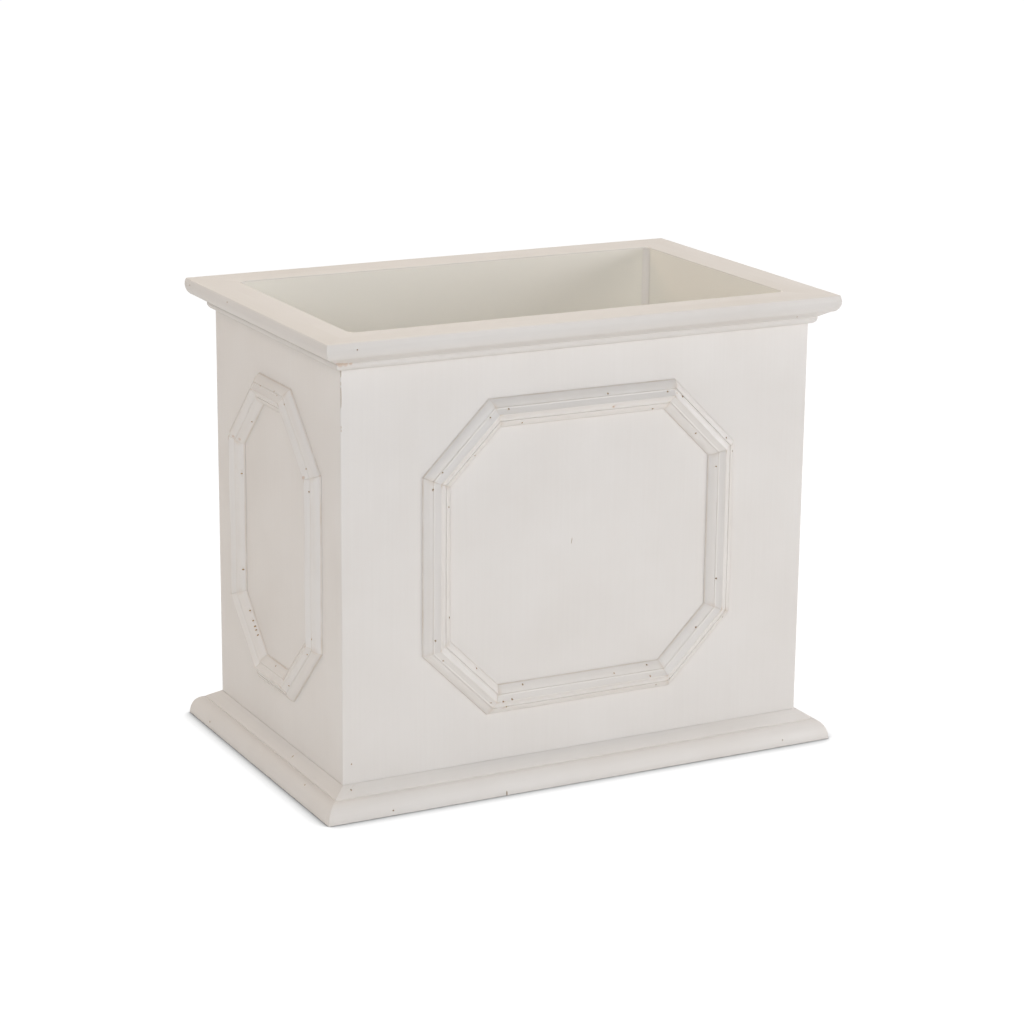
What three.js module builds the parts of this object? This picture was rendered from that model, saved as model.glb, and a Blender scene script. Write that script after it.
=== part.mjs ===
// A painted wooden box planter of the Versailles pattern, open at the top.
//
// Four mitred side boards make the box. A crown moulding runs round its top edge and a base
// moulding round its foot, both mitred at the corners. Each side carries an octagonal frame of
// eight lengths of applied panel moulding. Inside, a bead of sealant fills each upright corner,
// and slats lie across battens that are fixed to the sides. Water drains through the gaps
// between the slats.
//
// Millimetres, +Z up. The origin is the centre of the underside. The long front faces -Y.

import * as THREE from 'three';
import { mergeVertices } from 'three/addons/utils/BufferGeometryUtils.js';

// ---- Driving dimensions: the box ----

const boxLength = 610;
const boxDepth = 370;
const boxHeight = 556;
const boardThickness = 22;

// Clearance left for glue between mitred ends, and between a piece and the board it is fixed to
// where the two are set at different angles.
const glueGap = 0.3;

// ---- Driving dimensions: crown moulding, out from the boards, and up from its foot bead by step ----

const crownHeight = 36;
const crownTopReach = 27;
const crownNoseReach = 28.5;
const crownNoseDrop = 7;
const crownSplayReach = 20;
const crownSplayRise = 7.4;
const crownQuirk = 1.2;
const crownBeadReach = 8.2;
const crownBeadHeight = 7.8;
const crownFootReach = 1.4;

// ---- Driving dimensions: base moulding, out from the boards, and down from its top edge ----

const baseHeight = 34;
const baseReach = 32;
const baseSplayReach = 16;
const baseSplayDrop = 9.5;
const baseFilletDrop = 3.2;
const baseQuirk = 2.6;
const baseTopLip = 0.8;

// ---- Driving dimensions: octagonal panel frames ----

const frontFrameMargin = 100;
const sideFrameMargin = 54.5;
const frameTopMargin = 50;
const frameBottomMargin = 57.5;
const frameCornerCut = 83;

// Section of the panel moulding, which is the same both ways from its middle.
const panelMouldingWidth = 35;
const panelEdgeHeight = 3;
const panelOvoloWidth = 8.8;
const panelOvoloTop = 9.4;
const panelQuirkWidth = 0.8;
const panelQuirkDepth = 0.8;
const panelShelfWidth = 1.9;
const panelRidgeWidth = 2;
const panelRidgeShoulder = 13.9;
const panelRidgeTop = 14.6;

// ---- Driving dimensions: floor and corner beads ----

const battenHeight = 28;
const battenWidth = 20;
const battenGroundGap = 12;
const slatThickness = 18;
const slatCount = 5;
const drainGap = 10;
const floorEdgeClearance = 1.5;
const cornerBeadRadius = 7;

// ---- Smoothness of the curved parts of each section ----

const mouldingCurveSteps = 7;
const panelCurveSteps = 4;
const beadCurveSteps = 6;

// ---- What follows from the driving dimensions ----

const cornerMitre = Math.PI / 4;
const frameMitre = Math.PI / 8;
const frameTurn = Math.PI / 4;
const crownFootLevel = boxHeight - crownHeight;
const floorUnderside = battenGroundGap + battenHeight;
const floorTop = floorUnderside + slatThickness;
const innerLength = boxLength - 2 * boardThickness;
const innerDepth = boxDepth - 2 * boardThickness;

const sides = [
  { name: 'front', length: boxLength, reach: boxDepth / 2, turn: 0, margin: frontFrameMargin },
  { name: 'right', length: boxDepth, reach: boxLength / 2, turn: Math.PI / 2, margin: sideFrameMargin },
  { name: 'back', length: boxLength, reach: boxDepth / 2, turn: Math.PI, margin: frontFrameMargin },
  { name: 'left', length: boxDepth, reach: boxLength / 2, turn: -Math.PI / 2, margin: sideFrameMargin },
];

// ---- Paint and wood ----

function paint(colour, roughness) {
  return new THREE.MeshStandardMaterial({ color: colour, roughness, metalness: 0 });
}

const boardPaint = paint(0xe4e1dd, 0.5);
const crownPaint = paint(0xe6e2dc, 0.48);
const basePaint = paint(0xe3e0dc, 0.5);
const panelPaint = paint(0xe2dfdb, 0.46);
const beadPaint = paint(0xe4e0d6, 0.45);
const floorPaint = paint(0xd6d2c6, 0.6);
const battenWood = paint(0xc9b38c, 0.75);

// ---- Making solids ----

// Keeps only the positions, with shared corners joined, so that the surface is closed.
function closedSurface(geometry) {
  geometry.deleteAttribute('normal');
  geometry.deleteAttribute('uv');
  const closed = mergeVertices(geometry);
  closed.computeVertexNormals();
  return closed;
}

// A bar along X with mitred ends. The section's first coordinate is the distance out from the
// face it is fixed to, towards -Y, and its second is the height. The length is the bar's length
// at distance 0, and it grows outwards by the mitre.
function mitredBar(section, length, mitre, curveSteps) {
  const bar = new THREE.ExtrudeGeometry(section, {
    depth: 1,
    steps: 1,
    bevelEnabled: false,
    curveSegments: curveSteps,
  });
  const endGap = glueGap / (2 * Math.cos(mitre));
  const points = bar.getAttribute('position');
  for (let i = 0; i < points.count; i += 1) {
    const out = points.getX(i);
    const height = points.getY(i);
    const end = 1 - 2 * points.getZ(i);
    const halfLength = length / 2 + out * Math.tan(mitre) - endGap;
    points.setXYZ(i, end * halfLength, -out, height);
  }
  return closedSurface(bar);
}

function uprightPrism(section, height, curveSteps) {
  const prism = new THREE.ExtrudeGeometry(section, {
    depth: height,
    steps: 1,
    bevelEnabled: false,
    curveSegments: curveSteps,
  });
  return closedSurface(prism);
}

function namedMesh(name, geometry, material) {
  const mesh = new THREE.Mesh(geometry, material);
  mesh.name = name;
  return mesh;
}

// ---- Side boards ----

function boardSection() {
  const section = new THREE.Shape();
  section.moveTo(-boardThickness, 0);
  section.lineTo(0, 0);
  section.lineTo(0, boxHeight);
  section.lineTo(-boardThickness, boxHeight);
  section.closePath();
  return section;
}

function sideBoard(side) {
  const geometry = mitredBar(boardSection(), side.length, cornerMitre, 1);
  return namedMesh(`${side.name}_board`, geometry, boardPaint);
}

// ---- Crown moulding: a small bead, a quirk, a splay and a broad rounded nose ----

function crownSection() {
  const quirkHeight = crownBeadHeight + crownQuirk;
  const splayHeight = quirkHeight + crownSplayRise;
  const noseHeight = crownHeight - crownNoseDrop;
  const section = new THREE.Shape();
  section.moveTo(0, 0);
  section.lineTo(crownFootReach, 0);
  section.absellipse(
    crownFootReach, crownBeadHeight, crownBeadReach - crownFootReach, crownBeadHeight,
    -Math.PI / 2, 0, false, 0,
  );
  section.lineTo(crownBeadReach - crownQuirk, quirkHeight);
  section.lineTo(crownSplayReach, splayHeight);
  section.absellipse(
    crownSplayReach, noseHeight, crownNoseReach - crownSplayReach, noseHeight - splayHeight,
    -Math.PI / 2, 0, false, 0,
  );
  section.quadraticCurveTo(crownNoseReach, crownHeight - crownNoseDrop / 2, crownTopReach, crownHeight);
  section.lineTo(0, crownHeight);
  section.closePath();
  return section;
}

function crownMoulding(side) {
  const geometry = mitredBar(crownSection(), side.length, cornerMitre, mouldingCurveSteps);
  const mesh = namedMesh(`${side.name}_crown_moulding`, geometry, crownPaint);
  mesh.position.z = crownFootLevel;
  return mesh;
}

// ---- Base moulding: a broad ovolo from the ground, a quirk, a fillet and a splay ----

function baseSection() {
  const filletTop = baseHeight - baseSplayDrop;
  const shoulder = filletTop - baseFilletDrop;
  const ovoloStart = baseSplayReach + baseQuirk;
  const section = new THREE.Shape();
  section.moveTo(0, 0);
  section.lineTo(baseReach, 0);
  section.absellipse(ovoloStart, 0, baseReach - ovoloStart, shoulder, 0, Math.PI / 2, false, 0);
  section.lineTo(baseSplayReach, shoulder);
  section.lineTo(baseSplayReach, filletTop);
  section.lineTo(baseTopLip, baseHeight);
  section.lineTo(0, baseHeight);
  section.closePath();
  return section;
}

function baseMoulding(side) {
  const geometry = mitredBar(baseSection(), side.length, cornerMitre, mouldingCurveSteps);
  return namedMesh(`${side.name}_base_moulding`, geometry, basePaint);
}

// ---- Octagonal frame of panel moulding ----

// The section runs inwards from the frame's outer edge, so its distances are negative: an ovolo,
// a quirk and a shelf, a slope up to the ridge in the middle, and the same again in reverse.
function panelMouldingSection() {
  const middle = panelMouldingWidth / 2;
  const ridgeHalf = panelRidgeWidth / 2;
  const ovoloRise = panelOvoloTop - panelEdgeHeight;
  const quirkFloor = panelOvoloTop - panelQuirkDepth;
  const quirkEnd = panelOvoloWidth + panelQuirkWidth;
  const shelfEnd = quirkEnd + panelShelfWidth;
  const section = new THREE.Shape();
  section.moveTo(0, 0);
  section.lineTo(0, panelEdgeHeight);
  section.absellipse(
    -panelOvoloWidth, panelEdgeHeight, panelOvoloWidth, ovoloRise,
    0, Math.PI / 2, false, 0,
  );
  section.lineTo(-panelOvoloWidth, quirkFloor);
  section.lineTo(-quirkEnd, quirkFloor);
  section.lineTo(-quirkEnd, panelOvoloTop);
  section.lineTo(-shelfEnd, panelOvoloTop);
  section.lineTo(ridgeHalf - middle, panelRidgeShoulder);
  section.absellipse(
    -middle, panelRidgeShoulder, ridgeHalf, panelRidgeTop - panelRidgeShoulder,
    0, Math.PI, false, 0,
  );
  section.lineTo(shelfEnd - panelMouldingWidth, panelOvoloTop);
  section.lineTo(quirkEnd - panelMouldingWidth, panelOvoloTop);
  section.lineTo(quirkEnd - panelMouldingWidth, quirkFloor);
  section.lineTo(panelOvoloWidth - panelMouldingWidth, quirkFloor);
  section.lineTo(panelOvoloWidth - panelMouldingWidth, panelOvoloTop);
  section.absellipse(
    panelOvoloWidth - panelMouldingWidth, panelEdgeHeight, panelOvoloWidth, ovoloRise,
    Math.PI / 2, Math.PI, false, 0,
  );
  section.lineTo(-panelMouldingWidth, 0);
  section.closePath();
  return section;
}

// The eight lengths, in order round the frame from the bottom one. Each stands where the bottom
// one would after so many eighths of a turn.
function octagonFrame(side) {
  const width = side.length - 2 * side.margin;
  const bottom = baseHeight + frameBottomMargin;
  const top = crownFootLevel - frameTopMargin;
  const height = top - bottom;
  const straight = { across: width - 2 * frameCornerCut, up: height - 2 * frameCornerCut };
  const slant = frameCornerCut * Math.SQRT2;
  const slantX = width / 2 - frameCornerCut / 2;
  const slantZ = height / 2 - frameCornerCut / 2;
  const lengths = [
    { name: 'bottom', length: straight.across, x: 0, z: -height / 2 },
    { name: 'bottom_right', length: slant, x: slantX, z: -slantZ },
    { name: 'right', length: straight.up, x: width / 2, z: 0 },
    { name: 'top_right', length: slant, x: slantX, z: slantZ },
    { name: 'top', length: straight.across, x: 0, z: height / 2 },
    { name: 'top_left', length: slant, x: -slantX, z: slantZ },
    { name: 'left', length: straight.up, x: -width / 2, z: 0 },
    { name: 'bottom_left', length: slant, x: -slantX, z: -slantZ },
  ];
  const frame = new THREE.Group();
  frame.position.z = (top + bottom) / 2;
  lengths.forEach((piece, eighths) => {
    const geometry = mitredBar(panelMouldingSection(), piece.length, frameMitre, panelCurveSteps);
    geometry.rotateX(Math.PI / 2);
    const mesh = namedMesh(`${side.name}_frame_${piece.name}`, geometry, panelPaint);
    mesh.position.set(piece.x, 0, piece.z);
    mesh.rotation.y = -eighths * frameTurn;
    frame.add(mesh);
  });
  return frame;
}

// ---- Battens under the floor ----

function floorBatten(side, length) {
  const geometry = new THREE.BoxGeometry(length, battenWidth, battenHeight);
  const mesh = namedMesh(`${side.name}_floor_batten`, closedSurface(geometry), battenWood);
  mesh.position.y = boardThickness + glueGap + battenWidth / 2;
  mesh.position.z = battenGroundGap + battenHeight / 2;
  return mesh;
}

// The battens on the long sides run the whole way, and those on the short sides fit between them.
function battenLength(side) {
  const isLongSide = side.turn === 0 || side.turn === Math.PI;
  const endPiece = isLongSide ? 0 : battenWidth + glueGap;
  return side.length - 2 * (boardThickness + glueGap + endPiece);
}

// ---- Floor slats ----

// The slats run from front to back, side by side along the box, and are numbered from the left.
function floorSlats() {
  const floorLength = innerLength - 2 * floorEdgeClearance;
  const slatLength = innerDepth - 2 * floorEdgeClearance;
  const slatWidth = (floorLength - (slatCount - 1) * drainGap) / slatCount;
  const slats = new THREE.Group();
  slats.position.z = floorUnderside + slatThickness / 2;
  for (let i = 0; i < slatCount; i += 1) {
    const geometry = new THREE.BoxGeometry(slatWidth, slatLength, slatThickness);
    const mesh = namedMesh(`floor_slat_${i + 1}`, closedSurface(geometry), floorPaint);
    mesh.position.x = (slatWidth - floorLength) / 2 + i * (slatWidth + drainGap);
    slats.add(mesh);
  }
  return slats;
}

// ---- Beads of sealant in the inside corners ----

// The section is a corner with a hollow quarter round across it.
function cornerBead(name, signX, signY) {
  const section = new THREE.Shape();
  section.moveTo(0, 0);
  section.lineTo(cornerBeadRadius, 0);
  section.absarc(cornerBeadRadius, cornerBeadRadius, cornerBeadRadius, -Math.PI / 2, -Math.PI, true);
  section.closePath();
  const height = boxHeight - floorTop - glueGap;
  const geometry = uprightPrism(section, height, beadCurveSteps);
  const mesh = namedMesh(`corner_bead_${name}`, geometry, beadPaint);
  mesh.position.x = signX * (innerLength / 2 - glueGap);
  mesh.position.y = signY * (innerDepth / 2 - glueGap);
  mesh.position.z = floorTop + glueGap;
  mesh.rotation.z = Math.atan2(-signY, -signX) - Math.PI / 4;
  return mesh;
}

// ---- Assembly ----

function sideAssembly(side) {
  const group = new THREE.Group();
  const face = new THREE.Group();
  face.position.y = -side.reach;
  face.add(sideBoard(side));
  face.add(crownMoulding(side));
  face.add(baseMoulding(side));
  face.add(octagonFrame(side));
  face.add(floorBatten(side, battenLength(side)));
  group.add(face);
  group.rotation.z = side.turn;
  return group;
}

function planter() {
  const group = new THREE.Group();
  sides.forEach((side) => group.add(sideAssembly(side)));
  group.add(floorSlats());
  group.add(cornerBead('front_left', -1, -1));
  group.add(cornerBead('front_right', 1, -1));
  group.add(cornerBead('back_right', 1, 1));
  group.add(cornerBead('back_left', -1, 1));
  return group;
}

export default planter();
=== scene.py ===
"""A white painted wooden planter box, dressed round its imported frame.

The box is four mitred side boards with a crown moulding round the top, a base moulding round the
foot and an octagonal frame of panel moulding on each side. Lengths in the sections below are in
millimetres, and everything else is in metres.
"""

import math
import random

import bmesh
import bpy
from mathutils import Matrix, Vector, noise
from mathutils.bvhtree import BVHTree


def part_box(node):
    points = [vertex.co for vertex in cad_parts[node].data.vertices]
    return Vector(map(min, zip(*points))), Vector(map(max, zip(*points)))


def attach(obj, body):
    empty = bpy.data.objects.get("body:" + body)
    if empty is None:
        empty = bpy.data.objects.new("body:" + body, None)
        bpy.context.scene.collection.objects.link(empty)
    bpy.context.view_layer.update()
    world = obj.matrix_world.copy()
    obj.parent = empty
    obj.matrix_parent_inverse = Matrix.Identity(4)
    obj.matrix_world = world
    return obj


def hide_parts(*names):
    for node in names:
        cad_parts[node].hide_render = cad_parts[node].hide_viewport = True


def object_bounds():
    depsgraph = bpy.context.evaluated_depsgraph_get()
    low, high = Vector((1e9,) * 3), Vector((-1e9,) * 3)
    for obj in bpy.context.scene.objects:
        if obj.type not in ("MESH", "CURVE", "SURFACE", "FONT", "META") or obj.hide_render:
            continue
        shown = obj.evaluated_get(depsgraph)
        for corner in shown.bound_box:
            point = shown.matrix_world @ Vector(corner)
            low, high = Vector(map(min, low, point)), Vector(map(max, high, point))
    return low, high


MM = 0.001
BODY = "root"

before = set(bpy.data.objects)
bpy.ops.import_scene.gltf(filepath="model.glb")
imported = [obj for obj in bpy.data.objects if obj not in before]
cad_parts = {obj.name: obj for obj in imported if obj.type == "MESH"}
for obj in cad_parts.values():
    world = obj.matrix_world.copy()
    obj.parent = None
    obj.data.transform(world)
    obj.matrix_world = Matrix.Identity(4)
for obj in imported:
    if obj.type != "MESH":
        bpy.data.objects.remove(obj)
CAD_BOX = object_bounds()

# ---- The box, from the frame ----

HALF_LENGTH = -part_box("left_board")[0].x
HALF_DEPTH = -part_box("front_board")[0].y
BOX_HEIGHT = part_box("front_board")[1].z
BOARD_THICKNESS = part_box("left_board")[1].x + HALF_LENGTH
CROWN_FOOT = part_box("front_crown_moulding")[0].z
CROWN_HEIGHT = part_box("front_crown_moulding")[1].z - CROWN_FOOT
BASE_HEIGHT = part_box("front_base_moulding")[1].z

# Each side with its half width, its distance from the middle, and its turn from the front.
SIDES = {
    "front": (HALF_LENGTH, HALF_DEPTH, 0.0),
    "right": (HALF_DEPTH, HALF_LENGTH, math.pi / 2),
    "back": (HALF_LENGTH, HALF_DEPTH, math.pi),
    "left": (HALF_DEPTH, HALF_LENGTH, -math.pi / 2),
}

# ---- Sections, in millimetres ----

CROWN_TOP_REACH = 27.0
CROWN_NOSE_REACH = 28.5
CROWN_NOSE_DROP = 7.0
CROWN_NOSE_ROUND = 3.0
CROWN_SPLAY_REACH = 20.0
CROWN_SPLAY_RISE = 7.4
CROWN_QUIRK = 0.7
CROWN_QUIRK_ROUND = 0.7
CROWN_BEAD_REACH = 8.2
CROWN_BEAD_HEIGHT = 7.8
CROWN_FOOT_REACH = 1.4

BASE_REACH = 32.0
BASE_SPLAY_REACH = 16.0
BASE_SPLAY_DROP = 9.5
BASE_FILLET_DROP = 1.6
BASE_QUIRK = 1.1
BASE_TOP_LIP = 0.8

BOARD_STEP = 12.0

PANEL_WIDTH = 35.0
PANEL_EDGE_HEIGHT = 3.0
PANEL_EDGE_EASING = 1.1
PANEL_OVOLO_WIDTH = 8.8
PANEL_OVOLO_SHOULDER = 3.6
PANEL_OVOLO_DROP = 1.2
PANEL_OVOLO_ROUND = 4.0
PANEL_OVOLO_TOP = 9.4
PANEL_QUIRK_WIDTH = 0.9
PANEL_QUIRK_DEPTH = 1.3
PANEL_SHELF_WIDTH = 1.9
PANEL_RIDGE_WIDTH = 2.0
PANEL_RIDGE_SHOULDER = 13.9
PANEL_RIDGE_TOP = 14.6

# The crack left where a moulding meets its board, which paint has nearly filled on the frames.
JOINT_CRACK = 0.35
JOINT_CRACK_DEPTH = 2.0
PANEL_CRACK = 0.1
PANEL_CRACK_DEPTH = 0.3

CURVE_STEPS = 8
JOIN_DISTANCE = 1e-4
PAINT_SOFTENING = 0.4
ARRIS_RADIUS = 1.1 * MM
ARRIS_STEPS = 3
LENGTH_STEP = 6 * MM
SHARP_ANGLE = math.radians(32)

# How the lengths of a frame meet: the mitre's angle, and how its edge is eased back and sunk.
FRAME_MITRE = math.pi / 8
MITRE_EASING = 0.35 * MM
MITRE_SINK = 0.985

# How far the surface wanders from true.
WAVE_LENGTH = 70 * MM
WAVE_HEIGHT = 0.16 * MM
RIPPLE_LENGTH = 11 * MM
RIPPLE_HEIGHT = 0.05 * MM
WAVE_SEED = 0
RIPPLE_SEED = 5

# Blender seeds its noise from the clock, so the same surface on each run needs a seed.
NOISE_SEED = 1
noise.seed_set(NOISE_SEED)

# A brad's hole: how deep it is, and how wide its mouth and its tip are to its radius.
BRAD_DEPTH = 2.2 * MM
BRAD_MOUTH = 1.15
BRAD_TIP = 0.7
BRAD_SEGMENTS = 12

# How far in front of a piece the rays that look for its surface start.
FAR_OUT = 1.0


# ---- Drawing a section and running it along a side ----


class Section:
    """A section drawn as one chain of edges, with x out from its start and z up."""

    def __init__(self, x, z):
        self.bm = bmesh.new()
        self.tip = self.bm.verts.new((x, 0, z))
        self.softened = []

    def line(self, x, z, soft=0.0):
        """A straight line to (x, z), whose end is rounded over where soft is given."""
        new = bmesh.ops.extrude_vert_indiv(self.bm, verts=[self.tip])["verts"][0]
        new.co = (x, 0, z)
        self.tip = new
        if soft:
            self.softened.append((new, soft))

    def quarter(self, x, z, starts_level):
        """A quarter of an ellipse to (x, z), which starts level or upright."""
        start = self.tip.co.copy()
        centre = Vector((start.x, 0, z)) if starts_level else Vector((x, 0, start.z))
        arm = start - centre
        end_arm = Vector((x, 0, z)) - centre
        before = set(self.bm.verts)
        clockwise = arm.z * end_arm.x - arm.x * end_arm.z > 0
        bmesh.ops.spin(
            self.bm,
            geom=[self.tip],
            cent=centre,
            axis=(0, 1, 0),
            dvec=(0, 0, 0),
            angle=math.pi / 2 if clockwise else -math.pi / 2,
            steps=CURVE_STEPS,
        )
        new = [v for v in self.bm.verts if v not in before]
        stretch = end_arm.length / arm.length
        scale = Vector((1, 1, stretch)) if arm.z == 0 else Vector((stretch, 1, 1))
        for v in new:
            v.co = centre + (v.co - centre) * scale
        self.tip = min(new, key=lambda v: (v.co - Vector((x, 0, z))).length)

    def closed(self, mirrored=False):
        """The finished outline as a bmesh of edges, in metres."""
        bm = self.bm
        if mirrored:
            bmesh.ops.mirror(
                bm,
                geom=list(bm.verts) + list(bm.edges),
                axis="X",
                matrix=Matrix.Identity(4),
                merge_dist=JOIN_DISTANCE,
            )
            for old, soft in list(self.softened):
                facing = old.co * Vector((-1, 1, 1))
                twin = min(bm.verts, key=lambda v: (v.co - facing).length)
                self.softened.append((twin, soft))
        open_ends = [v for v in bm.verts if len(v.link_edges) == 1]
        if open_ends:
            bm.edges.new(open_ends)
        bmesh.ops.contextual_create(bm, geom=bm.edges)
        for v, soft in self.softened:
            bmesh.ops.bevel(
                bm,
                geom=[v],
                offset=soft,
                offset_type="OFFSET",
                affect="VERTICES",
                segments=3,
                profile=0.5,
                material=-1,
            )
        bmesh.ops.delete(bm, geom=bm.faces, context="FACES_ONLY")
        bmesh.ops.scale(bm, vec=(MM, MM, MM), verts=bm.verts)
        return bm


def crown_section():
    """A bead, a splay and a rounded nose, with x out from the board and z up from the foot."""
    splay_height = CROWN_BEAD_HEIGHT + CROWN_QUIRK + CROWN_SPLAY_RISE
    top = CROWN_HEIGHT / MM
    section = Section(0, JOINT_CRACK_DEPTH)
    section.line(JOINT_CRACK, JOINT_CRACK_DEPTH)
    section.line(JOINT_CRACK, 0)
    section.line(CROWN_FOOT_REACH, 0)
    section.quarter(CROWN_BEAD_REACH, CROWN_BEAD_HEIGHT, starts_level=True)
    section.line(CROWN_BEAD_REACH - CROWN_QUIRK, CROWN_BEAD_HEIGHT + CROWN_QUIRK, soft=CROWN_QUIRK_ROUND)
    section.line(CROWN_SPLAY_REACH, splay_height)
    section.quarter(CROWN_NOSE_REACH, top - CROWN_NOSE_DROP, starts_level=True)
    section.line(CROWN_NOSE_REACH, top - CROWN_NOSE_DROP / 2, soft=CROWN_NOSE_ROUND)
    section.line(CROWN_TOP_REACH, top, soft=PAINT_SOFTENING)
    section.line(0, top)
    return section.closed()


def base_section():
    """An ovolo and a splay, with x out from the board and z up from the ground."""
    top = BASE_HEIGHT / MM
    fillet_top = top - BASE_SPLAY_DROP
    shoulder = fillet_top - BASE_FILLET_DROP
    section = Section(0, 0)
    section.line(BASE_REACH, 0, soft=PAINT_SOFTENING)
    section.quarter(BASE_SPLAY_REACH + BASE_QUIRK, shoulder, starts_level=False)
    section.line(BASE_SPLAY_REACH, shoulder)
    section.line(BASE_SPLAY_REACH, fillet_top, soft=PAINT_SOFTENING)
    section.line(BASE_TOP_LIP, top, soft=PAINT_SOFTENING / 2)
    section.line(JOINT_CRACK, top)
    section.line(JOINT_CRACK, top - JOINT_CRACK_DEPTH)
    section.line(0, top - JOINT_CRACK_DEPTH)
    return section.closed()


def board_section():
    """A board on edge, in steps up its outer face so that the face can wander from true."""
    top = BOX_HEIGHT / MM
    inside = -BOARD_THICKNESS / MM
    steps = round(top / BOARD_STEP)
    section = Section(0, 0)
    for i in range(1, steps + 1):
        section.line(0, top * i / steps)
    section.line(inside, top, soft=PAINT_SOFTENING * 2)
    section.line(inside, 0, soft=PAINT_SOFTENING)
    return section.closed()


def panel_section():
    """The frames' moulding, with x in from its middle and z out from the board."""
    edge = -PANEL_WIDTH / 2
    back = edge + PANEL_CRACK_DEPTH
    quirk_start = edge + PANEL_OVOLO_WIDTH
    quirk_end = quirk_start + PANEL_QUIRK_WIDTH
    quirk_floor = PANEL_OVOLO_TOP - PANEL_QUIRK_DEPTH
    shelf_end = quirk_end + PANEL_SHELF_WIDTH
    section = Section(0, 0)
    section.line(back, 0)
    section.line(back, PANEL_CRACK)
    section.line(edge, PANEL_CRACK)
    section.line(edge + PANEL_EDGE_EASING, PANEL_EDGE_HEIGHT, soft=PAINT_SOFTENING * 2)
    shoulder = quirk_start - PANEL_OVOLO_SHOULDER
    section.line(shoulder, PANEL_OVOLO_TOP - PANEL_OVOLO_DROP, soft=PANEL_OVOLO_ROUND)
    section.line(quirk_start, PANEL_OVOLO_TOP, soft=PAINT_SOFTENING)
    section.line(quirk_start + PANEL_QUIRK_WIDTH / 2, quirk_floor, soft=PAINT_SOFTENING / 2)
    section.line(quirk_end, PANEL_OVOLO_TOP, soft=PAINT_SOFTENING / 2)
    section.line(shelf_end, PANEL_OVOLO_TOP, soft=PAINT_SOFTENING)
    section.line(-PANEL_RIDGE_WIDTH / 2, PANEL_RIDGE_SHOULDER)
    section.quarter(0, PANEL_RIDGE_TOP, starts_level=False)
    return section.closed(mirrored=True)


def place_on(across, up, origin):
    """Where a section goes: its x along across, its z along up, and its start at origin."""
    along = Vector(up).cross(Vector(across)).normalized()
    matrix = Matrix((across, along, up)).transposed().to_4x4()
    matrix.translation = origin
    return matrix


def sweep(section, places):
    """Runs a section through a list of places and closes both ends."""
    bm = section.copy()
    bmesh.ops.transform(bm, matrix=places[0], verts=bm.verts)
    first = list(bm.edges)
    edges = first
    for before, after in zip(places, places[1:]):
        made = bmesh.ops.extrude_edge_only(bm, edges=edges)["geom"]
        verts = {g for g in made if isinstance(g, bmesh.types.BMVert)}
        edges = [
            g
            for g in made
            if isinstance(g, bmesh.types.BMEdge) and verts.issuperset(g.verts)
        ]
        bmesh.ops.transform(bm, matrix=after @ before.inverted(), verts=list(verts))
    for end in (first, edges):
        faces = bmesh.ops.contextual_create(bm, geom=end)["faces"]
        bmesh.ops.triangulate(bm, faces=faces)
    bmesh.ops.recalc_face_normals(bm, faces=bm.faces)
    return bm


def side_places(half_width):
    """Places for a section run along a side that faces -Y, rounded over towards both mitres."""
    straight = half_width - ARRIS_RADIUS
    turns = [math.pi / 4 * (1 - i / ARRIS_STEPS) for i in range(ARRIS_STEPS)]
    steps = round(2 * straight / LENGTH_STEP)
    stops = []
    for turn in turns:
        along = straight + ARRIS_RADIUS * math.sin(turn)
        stops.append((-1, -along, ARRIS_RADIUS * (1 - math.cos(turn))))
    for i in range(steps + 1):
        share = 2 * i / steps - 1
        stops.append((share, share * straight, 0))
    for share, along, back in reversed(stops[: len(turns)]):
        stops.append((-share, -along, back))
    return [
        place_on((share, -1, 0), (0, 0, 1), (along, back, 0)) for share, along, back in stops
    ]


def bar_places(length):
    """Places for the frames' moulding along X, with its outer edge on the X axis."""
    slope = math.tan(FRAME_MITRE)
    half_width = PANEL_WIDTH / 2 * MM
    half_length = length / 2 - half_width * slope
    steps = round(length / LENGTH_STEP)
    shares = [2 * i / steps - 1 for i in range(steps + 1)]
    eased = 1 - MITRE_EASING / half_length
    shares = [-1, -eased] + shares[1:-1] + [eased, 1]
    places = []
    for share in shares:
        low = MITRE_SINK if abs(share) == 1 else 1.0
        across = (-share * slope, 0, 1)
        places.append(place_on(across, (0, -low, 0), (share * half_length, 0, half_width)))
    return places


# ---- Making a piece from its mesh ----


def world_noise(point, scale, seed):
    """A smooth random step at a place, the same for every piece that meets there."""
    return noise.noise_vector(Vector(point) / scale + Vector((seed, 0, 0)))


def weather(bm, place):
    """Moves the surface a little, as planing, sanding and paint leave it, within the box."""
    low, high = CAD_BOX
    back = place.inverted()
    for v in bm.verts:
        point = place @ v.co
        point += world_noise(point, WAVE_LENGTH, WAVE_SEED) * WAVE_HEIGHT
        point += world_noise(point, RIPPLE_LENGTH, RIPPLE_SEED) * RIPPLE_HEIGHT
        point = Vector(min(max(p, lo), hi) for p, lo, hi in zip(point, low, high))
        v.co = back @ point


def brad_hole(bm, hit, radius):
    """A tapered hole, sunk by a brad's head."""
    bmesh.ops.create_cone(
        bm,
        cap_ends=True,
        cap_tris=False,
        segments=BRAD_SEGMENTS,
        radius1=radius * BRAD_MOUTH,
        radius2=radius * BRAD_TIP,
        depth=2 * BRAD_DEPTH,
        matrix=Matrix.Translation(hit) @ Matrix.Rotation(-math.pi / 2, 4, "X"),
    )


def gouge(bm, hit, width, depth, height, lean):
    """A lens-shaped cut, such as a chip, a dent or an open crack, leaning from upright."""
    size = Matrix.Diagonal((width / 2, depth, height / 2, 1))
    place = Matrix.Translation(hit) @ Matrix.Rotation(math.radians(lean), 4, "Y") @ size
    bmesh.ops.create_icosphere(bm, subdivisions=2, radius=1, matrix=place)


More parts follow.
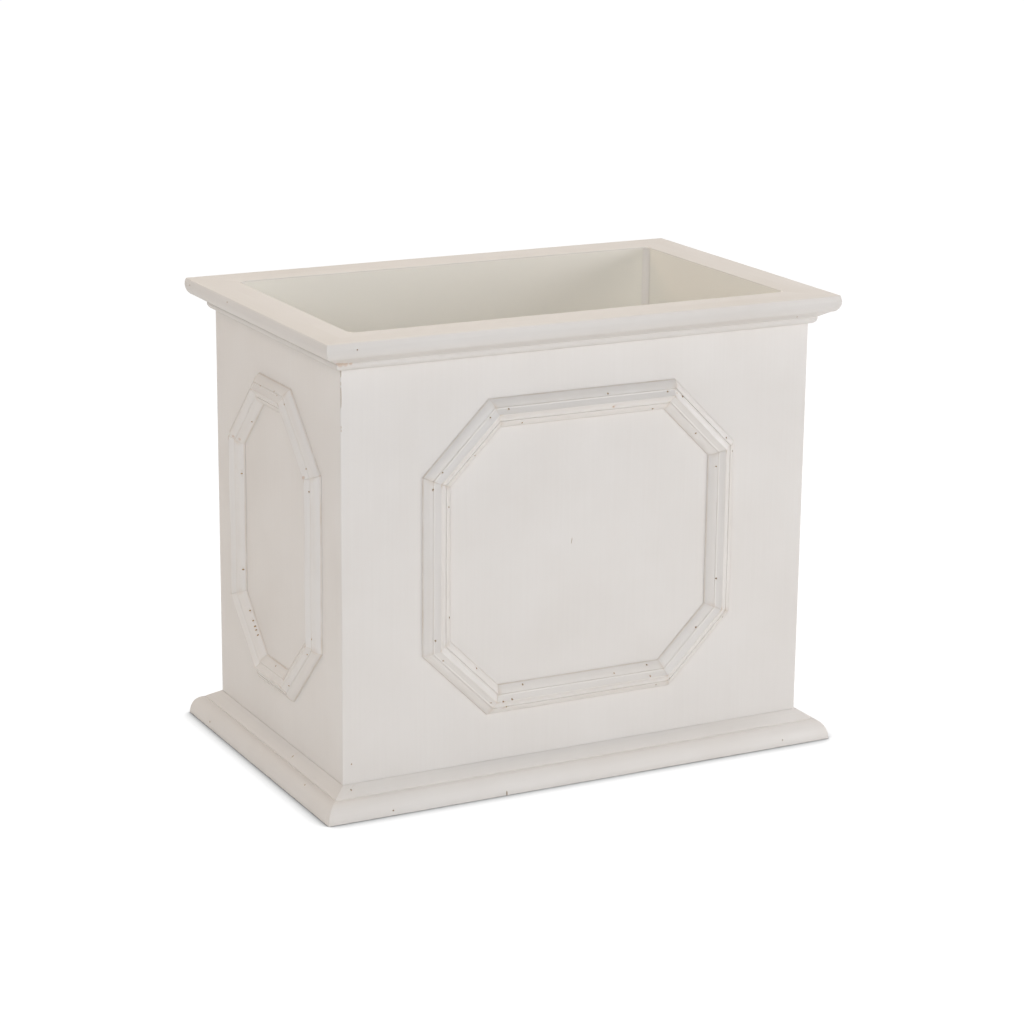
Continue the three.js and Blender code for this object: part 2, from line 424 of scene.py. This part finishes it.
def cut(mesh, spots, gouges):
    """Cuts holes (x, z, radius) and gouges (x, z, width, depth, height, lean) into a mesh."""
    bm = bmesh.new()
    bm.from_mesh(mesh)
    tree = BVHTree.FromBMesh(bm)
    bm.free()
    cutter_bm = bmesh.new()
    for x, z, *size in [*spots, *gouges]:
        hit = tree.ray_cast(Vector((x, -FAR_OUT, z)), Vector((0, 1, 0)))[0]
        if hit:
            shape = brad_hole if len(size) == 1 else gouge
            shape(cutter_bm, hit, *size)
    cutter_mesh = bpy.data.meshes.new("cuts")
    cutter_bm.to_mesh(cutter_mesh)
    cutter_bm.free()
    cutter_mesh.materials.append(BRAD_HOLE)
    cutter = bpy.data.objects.new("cuts", cutter_mesh)
    body = bpy.data.objects.new("body", mesh)
    for o in (body, cutter):
        bpy.context.scene.collection.objects.link(o)
    modifier = body.modifiers.new("cuts", "BOOLEAN")
    modifier.operation = "DIFFERENCE"
    modifier.solver = "EXACT"
    modifier.material_mode = "TRANSFER"
    modifier.object = cutter
    result = bpy.data.meshes.new_from_object(
        body.evaluated_get(bpy.context.evaluated_depsgraph_get())
    )
    for o in (body, cutter):
        bpy.data.objects.remove(o)
    return result


def hollowness(v):
    """How far a vertex lies in a hollow, or stands proud where it is under 0."""
    if not v.link_edges:
        return 0.0
    steps = [(e.other_vert(v).co - v.co).normalized() for e in v.link_edges]
    return sum(step.dot(v.normal) for step in steps) / len(steps)


def finish_piece(name, bm, material, place, spots=(), gouges=(), grain="XYZ"):
    """Turns a mesh that was made facing -Y into the finished piece for its node."""
    mesh = bpy.data.meshes.new(name)
    bm.to_mesh(mesh)
    bm.free()
    mesh.materials.append(material)
    if spots or gouges:
        mesh = cut(mesh, spots, gouges)
    bm = bmesh.new()
    bm.from_mesh(mesh)
    bm.normal_update()
    along = bm.verts.layers.float_vector.new("grain")
    crevice = bm.verts.layers.float.new("crevice")
    proud = bm.verts.layers.float.new("proud")
    for v in bm.verts:
        v[along] = [v.co["XYZ".index(axis)] for axis in grain]
        hollow = hollowness(v)
        v[crevice] = max(0, hollow)
        v[proud] = max(0, -hollow)
    for edge in bm.edges:
        edge.smooth = edge.calc_face_angle(0) < SHARP_ANGLE
    for face in bm.faces:
        face.smooth = True
    bmesh.ops.transform(bm, matrix=place, verts=bm.verts)
    bm.to_mesh(mesh)
    bm.free()
    mesh.name = name
    piece = bpy.data.objects.new(name, mesh)
    bpy.context.scene.collection.objects.link(piece)
    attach(piece, BODY)
    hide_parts(name)


# ---- Shaders ----


class Value:
    """A shader socket that Python's operators work on."""

    def __init__(self, shader, socket):
        self.shader = shader
        self.socket = socket

    def math(self, operation, first, second):
        return self.shader.node("Math", {"operation": operation}, Value=first, Value_001=second)

    def __add__(self, other):
        return self.math("ADD", self, other)

    def __sub__(self, other):
        return self.math("SUBTRACT", self, other)

    def __rsub__(self, other):
        return self.math("SUBTRACT", other, self)

    def __mul__(self, other):
        return self.math("MULTIPLY", self, other)

    __radd__ = __add__
    __rmul__ = __mul__

    def between(self, low, high):
        """0 where the value is at low or under, and 1 at high or over."""
        settings = {"clamp": True}
        return self.shader.node(
            "MapRange", settings, Value=self, From_Min=low, From_Max=high
        )


class Shader:
    """The nodes of a material or of the world."""

    def __init__(self, owner):
        owner.use_nodes = True
        self.owner = owner
        self.tree = owner.node_tree
        self.tree.nodes.clear()

    def node(self, kind, settings=None, output="", **inputs):
        made = self.tree.nodes.new("ShaderNode" + kind)
        for name, value in (settings or {}).items():
            setattr(made, name, value)
        for name, value in inputs.items():
            wanted = (name, name.replace("_", " "))
            socket = next(s for s in made.inputs if s.identifier in wanted)
            if isinstance(value, Value):
                self.tree.links.new(value.socket, socket)
            else:
                socket.default_value = value
        named = [o for o in made.outputs if output in (o.identifier, o.name)]
        return Value(self, next(iter(named or made.outputs), None))

    def noise(self, place, scale, detail=2.0, roughness=0.5, stretch=None):
        """Noise from 0 to 1, with features about 1 / scale metres wide."""
        if stretch:
            place = self.node("Mapping", Vector=place, Scale=stretch)
        return self.node(
            "TexNoise", Vector=place, Scale=scale, Detail=detail, Roughness=roughness
        )

    def stains(self, spots):
        """1 within each spot (x, y, z, radius) of the object, ragged and fading at its edge."""
        place = self.node("TexCoord", output="Object")
        ragged = self.noise(place, RAGGEDNESS, detail=2) * 0.6 + 0.7
        total = 0.0
        for x, y, z, radius in spots:
            settings = {"operation": "DISTANCE"}
            centre = (x * MM, y * MM, z * MM)
            away = self.node("VectorMath", settings, "Value", Vector=place, Vector_001=centre)
            total = 1 - (away * ragged).between(radius * MM * 0.5, radius * MM) + total
        return total.between(0, 1)

    def mix(self, share, first, second):
        return self.node(
            "Mix",
            {"data_type": "RGBA"},
            output="Result_Color",
            Factor_Float=share,
            A_Color=first,
            B_Color=second,
        )

    def surface(self, **inputs):
        shader = self.node("BsdfPrincipled", **inputs)
        self.node("OutputMaterial", Surface=shader)
        return self.owner


def srgb(red, green, blue):
    """A colour as a picture shows it, for a shader."""
    shares = (red / 255, green / 255, blue / 255)
    linear = [c / 12.92 if c <= 0.04045 else ((c + 0.055) / 1.055) ** 2.4 for c in shares]
    return (*linear, 1.0)


# ---- Finishes ----

PAINT = srgb(229, 225, 220)
PAINT_SHADE = srgb(223, 218, 212)
# A warmer, lighter paint for the inner faces; its lightness is painted light.
INNER_PAINT_AND_PAINTED_LIGHT = srgb(242, 239, 230)
# The tan of dirt in the hollows, which also paints shade there.
GRIME_AND_SHADE = srgb(196, 178, 160)
WORN = srgb(202, 182, 160)
STAIN = srgb(194, 160, 132)
RAW_WOOD = srgb(196, 168, 128)
DARK_WOOD = srgb(150, 118, 82)

# Noise along, across and through the wood: how many features there are in a metre.
GRAIN = (7, 320, 320)
BRUSH = (30, 1100, 1100)
RINGS = (3, 90, 90)
FIBRES = (24, 1300, 1300)
MOTTLE = 8
PATCHES = 26
ORANGE_PEEL = 420
RAGGEDNESS = 700

PAINT_BUMP = 0.12 * MM
WOOD_BUMP = 0.2 * MM
STAIN_STRENGTH = 0.5

# Where the rim's darker paint, painted shade, starts and is whole, down from the top, and where the
# inner face's lighter paint, partly painted light, ends and is whole, in from the outer face as shares
# of the board's thickness.
RIM_START = 1.5 * MM
RIM_WHOLE = 0.5 * MM
INNER_END = 0.7
INNER_WHOLE = 0.9


def within(shader, spot, axis, low, high):
    """1 where a place lies within low of the middle along an axis, and 0 past high."""
    away = shader.node("SeparateXYZ", output=axis, Vector=spot)
    return 1 - away.math("ABSOLUTE", away, 0).between(low, high)


def inside_and_rim(shader, colour, rim_shade_tone):
    """The inner faces' warmer, lighter paint, whose lightness is painted light, and the crown's darker
    tone on the rim's top, which is painted shade.
    """
    spot = shader.node("TexCoord", output="Object")
    height = shader.node("SeparateXYZ", output="Z", Vector=spot)
    top = height.between(BOX_HEIGHT - RIM_START, BOX_HEIGHT - RIM_WHOLE)
    inside = 1 - top
    for axis, reach in (("X", HALF_LENGTH), ("Y", HALF_DEPTH)):
        whole = reach - BOARD_THICKNESS * INNER_WHOLE
        end = reach - BOARD_THICKNESS * INNER_END
        inside = within(shader, spot, axis, whole, end) * inside
    colour = shader.mix(inside, colour, INNER_PAINT_AND_PAINTED_LIGHT)
    # Painted shade: the rim's top is darkened to the crown's tone.
    painted_light_tone = top * (rim_shade_tone - 1) + 1
    return shader.node("VectorMath", {"operation": "SCALE"}, Vector=colour, Scale=painted_light_tone)


def painted_wood(name, relief=1.0, grime_and_shade=1.0, raw=0.0, worn=0.0, painted_light_tone=1.0, rim=None, stains=()):
    """White paint brushed along the grain, with grime and painted shade in the hollows, wood where it is
    thin, and its whole tone lightened or darkened as painted light.
    """
    shader = Shader(bpy.data.materials.new(name))
    place = shader.node("Attribute", {"attribute_name": "grain"}, output="Vector")
    hollow = shader.node("Attribute", {"attribute_name": "crevice"}, output="Fac")
    mottle = shader.noise(place, MOTTLE, detail=3)
    grain = shader.noise(place, 1, detail=5, stretch=GRAIN)
    brush = shader.noise(place, 1, detail=2, stretch=BRUSH)
    peel = shader.noise(place, ORANGE_PEEL, detail=1)
    patches = shader.noise(place, PATCHES, detail=2).between(0.40, 0.64)
    shade = mottle * 0.75 + grain * 0.25
    # Painted light: the tone makes the whole piece's paint lighter or darker.
    light, dark = ([c * painted_light_tone for c in colour] for colour in (PAINT, PAINT_SHADE))
    colour = shader.mix(shade.between(0.3, 0.75), light, dark)
    # A darker rim top, which is painted shade, and a lighter inside, which is partly painted light.
    if rim:
        colour = inside_and_rim(shader, colour, rim)
    # Dirt and painted shade: the hollows are darkened towards a tan.
    dirt_and_shade = hollow.between(0.05, 0.5) * (patches * 0.8 + 0.2) * grime_and_shade
    colour = shader.mix(dirt_and_shade, colour, GRIME_AND_SHADE)
    if raw:
        thin = (grain * 0.7 + mottle * 0.5).between(0.66, 0.74) * raw
        colour = shader.mix(thin, colour, RAW_WOOD)
    if worn:
        proud = shader.node("Attribute", {"attribute_name": "proud"}, output="Fac")
        bare = proud.between(0.02, 0.14) * (patches * 0.7 + 0.3) * worn
        colour = shader.mix(bare, colour, WORN)
    if stains:
        colour = shader.mix(shader.stains(stains) * STAIN_STRENGTH, colour, STAIN)
    roughness = mottle * 0.1 + brush * 0.08 + 0.38
    height = grain * 0.5 + brush * 0.25 + peel * 0.25
    normal = shader.node("Bump", Strength=0.5 * relief, Distance=PAINT_BUMP, Height=height)
    return shader.surface(Base_Color=colour, Roughness=roughness, Normal=normal)


def bare_wood(name, light, dark):
    """Wood with its rings and fibres, and no finish."""
    shader = Shader(bpy.data.materials.new(name))
    place = shader.node("Attribute", {"attribute_name": "grain"}, output="Vector")
    rings = shader.noise(place, 1, detail=4, stretch=RINGS)
    fibre = shader.noise(place, 1, detail=3, stretch=FIBRES)
    colour = shader.mix(rings.between(0.35, 0.65) * 0.7 + fibre * 0.3, light, dark)
    height = rings * 0.4 + fibre * 0.6
    normal = shader.node("Bump", Strength=0.6, Distance=WOOD_BUMP, Height=height)
    return shader.surface(Base_Color=colour, Roughness=fibre * 0.15 + 0.62, Normal=normal)


# Where filler, splinters or resin show through the paint, in millimetres: x, y, z and radius.
FRAME_STAINS = (
    (35, -195, 447.1, 2.6),
    (119.5, -195, 454.8, 1.6),
    (-316, 106.2, 380.6, 2.6),
    (-313.3, 95.2, 378.3, 3.2),
    (-306, 85.4, 375.6, 2.4),
    (-313.4, 3.9, 439.1, 2.4),
    (-308, -50.8, 471, 2.6),
    (-307, -131.2, 388.5, 3.2),
    (-311, -129.5, 387.3, 2.6),
    (-319, -112, 382, 2.8),
)
CROWN_STAINS = (
    (-318, -199, 529, 3.4),
    (-313, -196, 529.5, 4.2),
    (-308, -194, 529, 4.6),
    (-302, -193, 528.6, 3.8),
    (-296, -193, 528.6, 2.6),
)

# The crown's paint, and the rim's top with it, is made darker than the boards': painted shade.
CROWN_SHADE_TONE = 0.93
BOARD_PAINT = painted_wood("board paint", relief=0.45, grime_and_shade=0.2, rim=CROWN_SHADE_TONE)
CROWN_PAINT = painted_wood(
    "crown paint", relief=0.5, grime_and_shade=0.1, painted_light_tone=CROWN_SHADE_TONE, stains=CROWN_STAINS
)
BASE_PAINT = painted_wood("base paint", relief=0.6, grime_and_shade=0.3, worn=0.15)
FRAME_PAINT = painted_wood("frame paint", relief=0.6, grime_and_shade=0.25, worn=0.5, stains=FRAME_STAINS)
# The bead's paint is lighter, like the inner faces' paint: a painted highlight down the inside corner.
BEAD_PAINT = painted_wood("bead paint", relief=0.4, grime_and_shade=0.0, painted_light_tone=1.14)
SLAT_PAINT = painted_wood("slat paint", relief=1.6, raw=0.8)
BATTEN_WOOD = bare_wood("batten wood", srgb(214, 188, 150), srgb(184, 148, 104))
BRAD_HOLE = bare_wood("brad hole", RAW_WOOD, DARK_WOOD)


# ---- Brad holes, in millimetres ----

# On the frames, along each length from its middle and in from its outer edge.
FRAME_BRADS = {
    "front": {
        "top": ((101, 12), (82, 31), (-28, 7), (-90, 32), (-107, 12)),
        "top_left": ((-43, 12), (0, 30), (40, 11)),
        "left": ((-93, 9), (-70, 30), (62, 32), (86, 12), (102, 12)),
        "bottom_left": ((-39, 12), (5, 32), (47, 13)),
        "bottom": ((-107, 18), (-100, 9), (-95, 19), (-77, 32), (90, 32), (91, 20), (102, 6)),
        "bottom_right": ((-52, 10), (15, 27), (47, 5)),
        "right": ((-60, 24), (79, 28), (95, 5)),
        "top_right": ((-44, 6), (-7, 29), (40, 10)),
    },
    "left": {
        "top": ((-27, 11), (-18, 8), (23, 10)),
        "top_left": ((-3, 33),),
        "left": ((-55, 33), (65, 33)),
        "bottom_left": ((-18, 33), (-4, 33), (4, 33), (9, 33), (16, 33)),
        "bottom": ((3, 32),),
        "bottom_right": ((-38, 12), (40, 12)),
        "right": ((-89, 10), (86, 12)),
        "top_right": ((-41, 11), (46, 11)),
    },
}
BRAD_RADIUS = 1.0

# On lengths out of sight: how far from an end, and how far in from the outer edge.
BRAD_END_MARGIN = 14
BRAD_QUIRK = 11
BRAD_SLOPE = 31

# On the crown and base, along each side from its middle and up from the moulding's foot.
CROWN_BRADS = {"front": ((-297, 28), (280, 12)), "left": ((-195, 30), (-75, 31), (150, 12))}
BASE_BRADS = {"front": ((-298, 30), (-256, 6), (270, 8)), "left": ((-150, 8), (60, 29))}
CROWN_BRAD_HEIGHTS = (12, 30)
BASE_BRAD_HEIGHTS = (8, 29)

# Chips, dents and open joints, in millimetres: x, z, width, depth and height, and a lean in degrees.
# The near upright mitre of the front board has opened in short stretches.
BOARD_GOUGES = {
    "front": (
        (-304.3, 516.5, 0.9, 2, 9, 0),
        (-304.3, 505, 0.6, 1.4, 4, 0),
        (-304.3, 489, 0.9, 2, 25, 0),
        (-304.3, 455.5, 0.7, 1.2, 3, 0),
        (-304.3, 451.5, 0.7, 1.2, 3, 0),
        (-11.7, 289, 0.6, 0.8, 8, 8),
        (-294, 57.9, 1.6, 1.0, 2.0, 20),
    ),
}
BASE_GOUGES = {"front": ((-110, 2.2, 1.4, 2.0, 7, 0),), "left": ((131, 20, 2.2, 1.2, 1.6, 10),)}
FRAME_GOUGES = {
    ("front", "bottom"): ((44, 29, 2.6, 0.8, 1.4, 30),),
    ("front", "top"): ((-35, 23, 2.4, 0.5, 1.4, 20),),
}


def in_metres(gouges):
    """Gouges with their lengths in metres; the lean, which comes last, is an angle."""
    return [(*(length * MM for length in lengths), lean) for *lengths, lean in gouges]


def unseen_frame_brads(length, random_source):
    """Where the same hand puts brads on a length that is out of sight."""
    end = length / MM / 2 - BRAD_END_MARGIN
    middle = random_source.uniform(-0.5, 0.5) * end
    spots = ((-end, BRAD_QUIRK), (end, BRAD_QUIRK), (middle, BRAD_SLOPE))
    return [(x + random_source.uniform(-4, 4), z + random_source.uniform(-1, 1)) for x, z in spots]


def unseen_side_brads(half_width, heights, random_source):
    """Where the same hand puts brads along a crown or a base that is out of sight."""
    end = half_width / MM - BRAD_END_MARGIN
    shares = (-1, -0.35, 0.3, 1)
    return [(s * end + random_source.uniform(-6, 6), random_source.choice(heights)) for s in shares]


def brads(spots, random_source):
    """Holes in metres, each with a radius of its own."""
    return [(x * MM, z * MM, BRAD_RADIUS * MM * random_source.uniform(0.8, 1.2)) for x, z in spots]


# ---- The sides ----


def local_box(node, place):
    """A node's lowest and highest corners as seen facing its side."""
    low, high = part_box(node)
    corners = [place.inverted() @ c for c in (low, high)]
    return [Vector(map(pick, *corners)) for pick in (min, max)]


def side_board(side, half_width, place):
    """A board of the box, mitred at both ends and rounded over at its arrises."""
    bm = sweep(board_section(), side_places(half_width))
    weather(bm, place)
    name = f"{side}_board"
    gouges = in_metres(BOARD_GOUGES.get(side, ()))
    finish_piece(name, bm, BOARD_PAINT, place, gouges=gouges, grain="ZXY")


def crown_moulding(side, half_width, place):
    """The moulding round the top, flush with the boards' rim."""
    source = random.Random(f"{side} crown")
    place = place @ Matrix.Translation((0, 0, CROWN_FOOT))
    bm = sweep(crown_section(), side_places(half_width))
    weather(bm, place)
    spots = CROWN_BRADS.get(side) or unseen_side_brads(half_width, CROWN_BRAD_HEIGHTS, source)
    name = f"{side}_crown_moulding"
    finish_piece(name, bm, CROWN_PAINT, place, spots=brads(spots, source))


def base_moulding(side, half_width, place):
    """The moulding round the foot, standing on the ground."""
    source = random.Random(f"{side} base")
    bm = sweep(base_section(), side_places(half_width))
    weather(bm, place)
    spots = BASE_BRADS.get(side) or unseen_side_brads(half_width, BASE_BRAD_HEIGHTS, source)
    name = f"{side}_base_moulding"
    gouges = in_metres(BASE_GOUGES.get(side, ()))
    finish_piece(name, bm, BASE_PAINT, place, brads(spots, source), gouges)


# How far a length of the frames is out of true: its turn, its place and its lift off the board.
BAR_SKEW = math.radians(0.12)
BAR_SHIFT = 0.2 * MM
BAR_LIFT = 0.2 * MM
MITRE_GAP = 0.25 * MM


def panel_frame(side, place):
    """Eight mitred lengths of panel moulding, set by hand and so a little out of true."""
    sides = local_box(f"{side}_frame_bottom", place), local_box(f"{side}_frame_right", place)
    low = Vector((-sides[1][1].x, 0, sides[0][0].z))
    high = Vector((sides[1][1].x, 0, local_box(f"{side}_frame_top", place)[1].z))
    across = sides[0][1].x - sides[0][0].x
    upright = sides[1][1].z - sides[1][0].z
    corner = high.x - across / 2
    middle = (low.z + high.z) / 2
    slant_x = high.x - corner / 2
    slant_z = high.z - middle - corner / 2
    slant = corner * math.sqrt(2)
    lengths = (
        ("bottom", across, 0, low.z - middle),
        ("bottom_right", slant, slant_x, -slant_z),
        ("right", upright, high.x, 0),
        ("top_right", slant, slant_x, slant_z),
        ("top", across, 0, high.z - middle),
        ("top_left", slant, -slant_x, slant_z),
        ("left", upright, low.x, 0),
        ("bottom_left", slant, -slant_x, -slant_z),
    )
    for eighths, (part, length, x, z) in enumerate(lengths):
        source = random.Random(f"{side} {part}")
        turn = -eighths * math.pi / 4 + source.uniform(-1, 1) * BAR_SKEW
        shift = Vector((x, 0, middle + z))
        shift.x += source.uniform(-1, 1) * BAR_SHIFT
        shift.z += source.uniform(-1, 1) * BAR_SHIFT
        shift.y = -source.uniform(0, 1) * BAR_LIFT
        bar_place = place @ Matrix.Translation(shift) @ Matrix.Rotation(turn, 4, "Y")
        bm = sweep(panel_section(), bar_places(length - source.uniform(0, 1) * MITRE_GAP))
        weather(bm, bar_place)
        spots = FRAME_BRADS.get(side, {}).get(part) or unseen_frame_brads(length, source)
        gouges = in_metres(FRAME_GOUGES.get((side, part), ()))
        name = f"{side}_frame_{part}"
        finish_piece(name, bm, FRAME_PAINT, bar_place, brads(spots, source), gouges)


for side, (half_width, reach, turn) in SIDES.items():
    place = Matrix.Rotation(turn, 4, "Z") @ Matrix.Translation((0, -reach, 0))
    side_board(side, half_width, place)
    crown_moulding(side, half_width, place)
    base_moulding(side, half_width, place)
    panel_frame(side, place)


# ---- Floor slats, battens and corner beads ----

SLAT_EASING = 1.2 * MM
BATTEN_EASING = 0.8 * MM


def planed_bar(node, softening, material, grain):
    """A straight length with eased edges, the size of its node."""
    low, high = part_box(node)
    size = high - low
    bm = bmesh.new()
    bmesh.ops.create_cube(bm, size=1)
    bmesh.ops.scale(bm, vec=size, verts=bm.verts)
    bmesh.ops.bevel(
        bm,
        geom=list(bm.edges),
        offset=softening,
        offset_type="OFFSET",
        affect="EDGES",
        segments=3,
        profile=0.5,
        material=-1,
    )
    place = Matrix.Translation((low + high) / 2)
    weather(bm, place)
    finish_piece(node, bm, material, place, grain=grain)


for node in sorted(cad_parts):
    if "slat" in node:
        planed_bar(node, SLAT_EASING, SLAT_PAINT, "YXZ")
    elif "batten" in node:
        along = "YXZ" if node.startswith(("left", "right")) else "XYZ"
        planed_bar(node, BATTEN_EASING, BATTEN_WOOD, along)

# The bead's reach along each board, in millimetres, and the length of its steps.
BEAD_REACH = 7.0
BEAD_STEP = 9 * MM


def corner_bead(node):
    """A hollow bead of filler, smoothed with a finger up an inside corner and painted over."""
    low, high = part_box(node)
    side_x = math.copysign(1, low.x)
    side_y = math.copysign(1, low.y)
    corner_x = side_x * max(abs(low.x), abs(high.x))
    corner_y = side_y * max(abs(low.y), abs(high.y))
    section = Section(0, 0)
    section.line(BEAD_REACH, 0)
    section.quarter(0, BEAD_REACH, starts_level=True)
    steps = round((high.z - low.z) / BEAD_STEP)
    heights = [low.z + (high.z - low.z) * i / steps for i in range(steps + 1)]
    places = [
        place_on((-side_x, 0, 0), (0, -side_y, 0), (corner_x, corner_y, z)) for z in heights
    ]
    bm = sweep(section.closed(), places)
    weather(bm, Matrix.Identity(4))
    finish_piece(node, bm, BEAD_PAINT, Matrix.Identity(4), grain="ZXY")


for node in sorted(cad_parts):
    if node.startswith("corner_bead"):
        corner_bead(node)


# ---- Camera ----

PICTURE = 1024
FOCAL_LENGTH = 2888.5
SENSOR = 36.0
CAMERA_PLACE = (-1.5636, -3.0235, 1.2212)
CAMERA_YAW = 0.4787
CAMERA_PITCH = -0.2709
CAMERA_ROLL = 0.0100


def camera():
    """The camera of the picture: its focal length is in pixels of a picture 1024 wide."""
    data = bpy.data.cameras.new("camera")
    data.sensor_width = SENSOR
    data.lens = FOCAL_LENGTH / PICTURE * SENSOR
    made = bpy.data.objects.new("camera", data)
    bpy.context.scene.collection.objects.link(made)
    made.matrix_world = (
        Matrix.Translation(CAMERA_PLACE)
        @ Matrix.Rotation(-CAMERA_YAW, 4, "Z")
        @ Matrix.Rotation(math.pi / 2 + CAMERA_PITCH, 4, "X")
        @ Matrix.Rotation(CAMERA_ROLL, 4, "Z")
    )
    bpy.context.scene.camera = made


camera()


# ---- Floor, surroundings and lamps ----

FLOOR_SIZE = 60.0
FLOOR_COLOUR = (0.95, 0.95, 0.95, 1)
FLOOR_WHITE = 1.1
FLOOR_WHITE_SHARE = 0.92

# How far the contact shadow reaches, and how open to the air the floor is where it is dark and
# where the shadow has ended.
CONTACT_REACH = 48 * MM
CONTACT_DARK = 0.50
CONTACT_CLEAR = 0.90
CONTACT_SAMPLES = 16

WORLD_LIGHT = 0.12

# Each lamp with its place, its width, its power in watts and its colour; all aim at the box.
LAMP_AIM = (0, 0, 0.28)
LAMPS = {
    "beside the camera": ((-1.8, -2.8, 1.8), 1.6, 42, (0.87, 0.92, 1.0)),
    "front right": ((2.0, -2.6, 0.6), 1.4, 30, (1.0, 0.99, 0.99)),
    "right": ((3.0, 0, 1.2), 1.4, 32, (0.95, 0.93, 1.0)),
    "low left": ((-2.7, -0.3, 0.35), 1.2, 8, (1.0, 0.99, 0.98)),
    "overhead": ((0, 0, 3.0), 1.6, 34, (1.0, 0.90, 0.78)),
    "behind left": ((-2.2, 1.8, 2.2), 1.4, 18, (1.0, 0.80, 0.63)),
}


def seen_directly(shader):
    """1 for what the camera sees, also in gloss or through glass, and 0 for light on the object."""
    rays = [
        shader.node("LightPath", output=f"Is {kind} Ray")
        for kind in ("Camera", "Glossy", "Transmission")
    ]
    return (rays[0] + rays[1] + rays[2]).between(0, 1)


def floor():
    """A pale floor that looks white, down to a thin shadow where the box stands."""
    shader = Shader(bpy.data.materials.new("pale floor"))
    lit = shader.node("BsdfDiffuse", Color=FLOOR_COLOUR)
    settings = {"samples": CONTACT_SAMPLES}
    near = shader.node("AmbientOcclusion", settings, output="AO", Distance=CONTACT_REACH)
    strength = near.between(CONTACT_DARK, CONTACT_CLEAR) * FLOOR_WHITE
    white = shader.node("Emission", Color=(1, 1, 1, 1), Strength=strength)
    share = seen_directly(shader) * FLOOR_WHITE_SHARE
    both = shader.node("MixShader", Fac=share, Shader=lit, Shader_001=white)
    shader.node("OutputMaterial", Surface=both)
    bm = bmesh.new()
    bmesh.ops.create_grid(bm, x_segments=1, y_segments=1, size=FLOOR_SIZE / 2)
    mesh = bpy.data.meshes.new("floor")
    bm.to_mesh(mesh)
    bm.free()
    mesh.materials.append(shader.owner)
    made = bpy.data.objects.new("floor", mesh)
    bpy.context.scene.collection.objects.link(made)


def surroundings():
    """A faint even light, and white wherever the camera sees past the floor."""
    world = bpy.data.worlds.new("studio")
    bpy.context.scene.world = world
    shader = Shader(world)
    strength = seen_directly(shader) * (1 - WORLD_LIGHT) + WORLD_LIGHT
    light = shader.node("Background", Color=(1, 1, 1, 1), Strength=strength)
    shader.node("OutputWorld", Surface=light)


def lamp(name, place, width, watts, colour):
    """A round soft lamp that aims at the box and isn't seen itself."""
    data = bpy.data.lights.new(name, "AREA")
    data.shape = "DISK"
    data.size = width
    data.energy = watts
    data.color = colour
    made = bpy.data.objects.new(name, data)
    bpy.context.scene.collection.objects.link(made)
    made.visible_camera = False
    towards = (Vector(LAMP_AIM) - Vector(place)).to_track_quat("-Z", "Y")
    made.matrix_world = Matrix.Translation(place) @ towards.to_matrix().to_4x4()


floor()
surroundings()
for name, (place, width, watts, colour) in LAMPS.items():
    lamp(name, place, width, watts, colour)

bpy.context.scene.view_settings.view_transform = "Standard"
